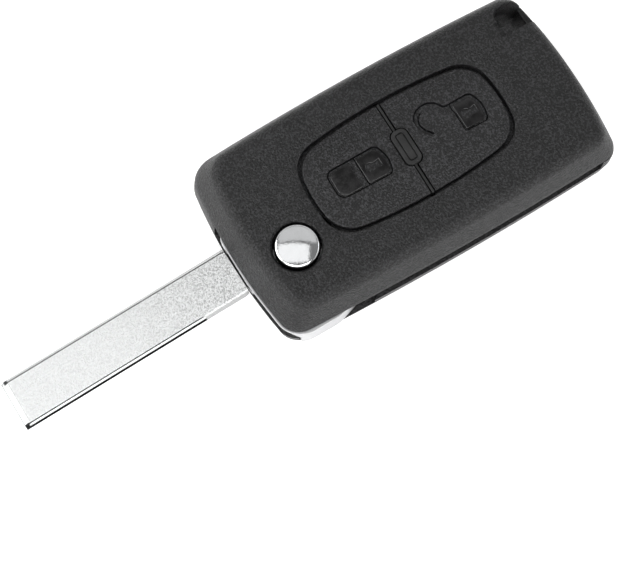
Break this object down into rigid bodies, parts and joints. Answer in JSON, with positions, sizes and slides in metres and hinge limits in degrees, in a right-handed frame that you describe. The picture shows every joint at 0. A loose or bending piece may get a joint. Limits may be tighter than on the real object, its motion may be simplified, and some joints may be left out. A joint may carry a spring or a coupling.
{
  "type": "flip key fob shell",
  "caption": "Folding car key fob shell: black two-part case with lock and unlock caps, a domed release button and a steel blade that swings out of a silver hub.",
  "frame": {"origin": "release button's axis, on the flat back face", "axes": "+Z out through the keypad, +X towards the key ring end, -X along the opened blade, +Y towards the far long side"},
  "size_m": [0.1155, 0.0378, 0.0151],
  "materials": {
    "case_plastic": "fine spark-eroded grain",
    "key_cap_plastic": "fine grain",
    "frame_plastic": "plain moulded",
    "mat_rubber": "matt",
    "hub_casting": "satin zinc casting",
    "blade_steel": "nickel plated, finely pitted",
    "button_chrome": "polished",
    "spring_steel": "bright drawn",
    "contact_plate": "nickel plated"
  },
  "bodies": {
    "back_case": {"lower_shell": "case_plastic", "spring_cup": "spring_steel", "pivot_washer": "spring_steel", "flip_spring": "spring_steel", "battery_contact_positive": "contact_plate", "battery_contact_negative": "contact_plate"},
    "blade_assembly": {"blade_hub": "hub_casting", "key_blade": "blade_steel", "blade_pin": "spring_steel", "return_spring": "spring_steel"},
    "release_button": {"release_cap": "button_chrome", "release_stem": "spring_steel", "stem_clip": "spring_steel"},
    "front_case": {"upper_shell": "case_plastic", "inner_frame": "frame_plastic", "frame_screws": "spring_steel", "keypad_membrane": "mat_rubber", "glide_ring": "spring_steel"},
    "lock_key": {"lock_button": "key_cap_plastic"},
    "unlock_key": {"unlock_button": "key_cap_plastic"}
  },
  "joints": [
    {"name": "blade_flip", "type": "hinge", "parent": "back_case", "child": "blade_assembly", "pos_m": [0, 0, 0.0065], "axis": [0, 0, 1], "range_deg": [0, 178.3], "stiffness_Nm_per_rad": 0.01, "springref_deg": -28.65},
    {"name": "release_press", "type": "slide", "parent": "blade_assembly", "child": "release_button", "axis": [0, 0, -1], "range_m": [0, 0.0015], "stiffness_N_per_m": 300, "springref_m": -0.004, "deforming": ["return_spring"]},
    {"name": "case_opens", "type": "slide", "parent": "back_case", "child": "front_case", "axis": [0, 0, 1], "range_m": [0, 0.02]},
    {"name": "lock_press", "type": "slide", "parent": "front_case", "child": "lock_key", "axis": [0, 0, -1], "range_m": [0, 0.0006], "stiffness_N_per_m": 500, "springref_m": -0.001},
    {"name": "unlock_press", "type": "slide", "parent": "front_case", "child": "unlock_key", "axis": [0, 0, -1], "range_m": [0, 0.0006], "stiffness_N_per_m": 500, "springref_m": -0.001}
  ]
}
